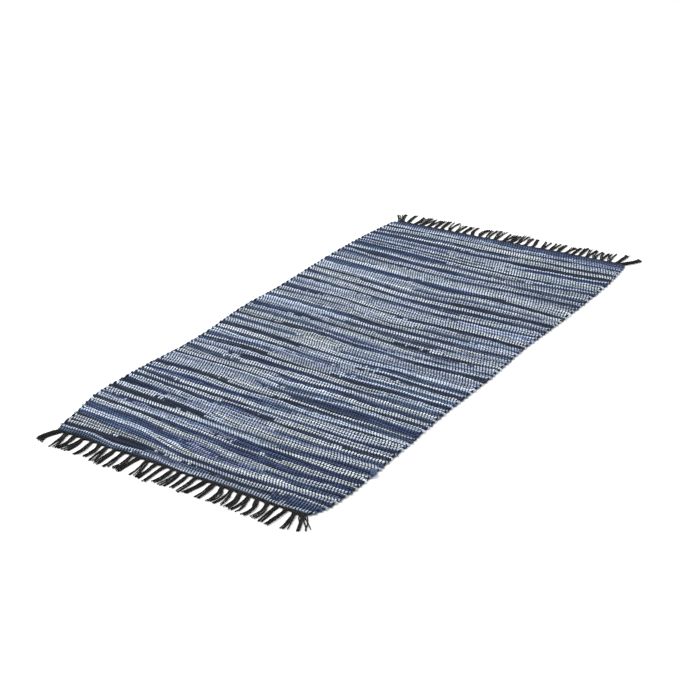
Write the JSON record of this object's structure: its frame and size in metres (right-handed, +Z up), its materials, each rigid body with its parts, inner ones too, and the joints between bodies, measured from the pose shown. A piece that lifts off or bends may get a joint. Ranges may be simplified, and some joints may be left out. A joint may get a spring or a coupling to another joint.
{
  "type": "rag rug",
  "caption": "Flat hand-woven rag rug in mixed blues: torn cotton strips packed over a dark cotton warp, with the warp ends gathered into tassels along both short ends.",
  "frame": {"origin": "the middle of the rug on the surface that it lies on", "axes": "+Z up out of the floor, +Y along the warp from the near tassels to the far ones, +X across the rug to the right"},
  "size_m": [0.721, 1.5492, 0.006],
  "materials": {
    "rag_weft": "torn cotton strips in mixed blues, plain woven, matt",
    "warp_cotton": "near-black twisted cotton yarn, matt"
  },
  "bodies": {
    "root": {"woven_body": "rag_weft", "near_fringe": "warp_cotton", "far_fringe": "warp_cotton"}
  },
  "joints": []
}
